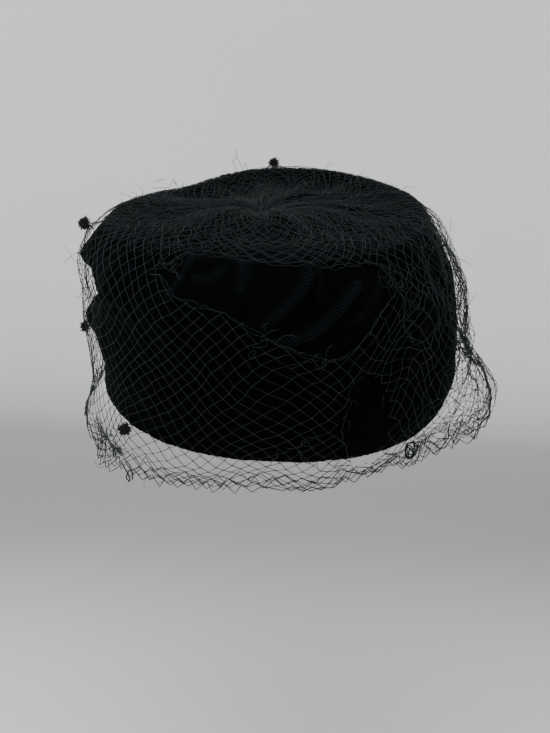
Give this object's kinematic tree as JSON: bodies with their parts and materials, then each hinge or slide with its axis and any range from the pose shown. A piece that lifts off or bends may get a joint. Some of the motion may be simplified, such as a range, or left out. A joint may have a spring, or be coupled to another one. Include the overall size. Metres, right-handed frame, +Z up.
{
  "type": "pillbox hat",
  "caption": "Draped black velvet pillbox hat with a gathered crown, hollow and open below for the head, wrapped in a coarse net veil with chenille dots.",
  "frame": {"origin": "centre of the head opening, level with the rim", "axes": "+Z up through the crown, -Y the back of the hat that the picture shows, +Y towards the wearer's face, +X the wearer's right"},
  "size_m": [0.2283, 0.2262, 0.1212],
  "materials": {
    "velvet": "black pile velvet, dull with a pale edge sheen",
    "net": "stiff black diamond net of fine threads",
    "chenille": "black tufted chenille, matt"
  },
  "bodies": {
    "root": {"side_drape": "velvet", "crown_tip": "velvet", "veil_net": "net", "veil_dot_01": "chenille", "veil_dot_02": "chenille", "veil_dot_03": "chenille", "veil_dot_04": "chenille", "veil_dot_05": "chenille", "veil_dot_06": "chenille", "veil_dot_07": "chenille", "veil_dot_08": "chenille", "veil_dot_09": "chenille", "veil_dot_10": "chenille"}
  },
  "joints": []
}
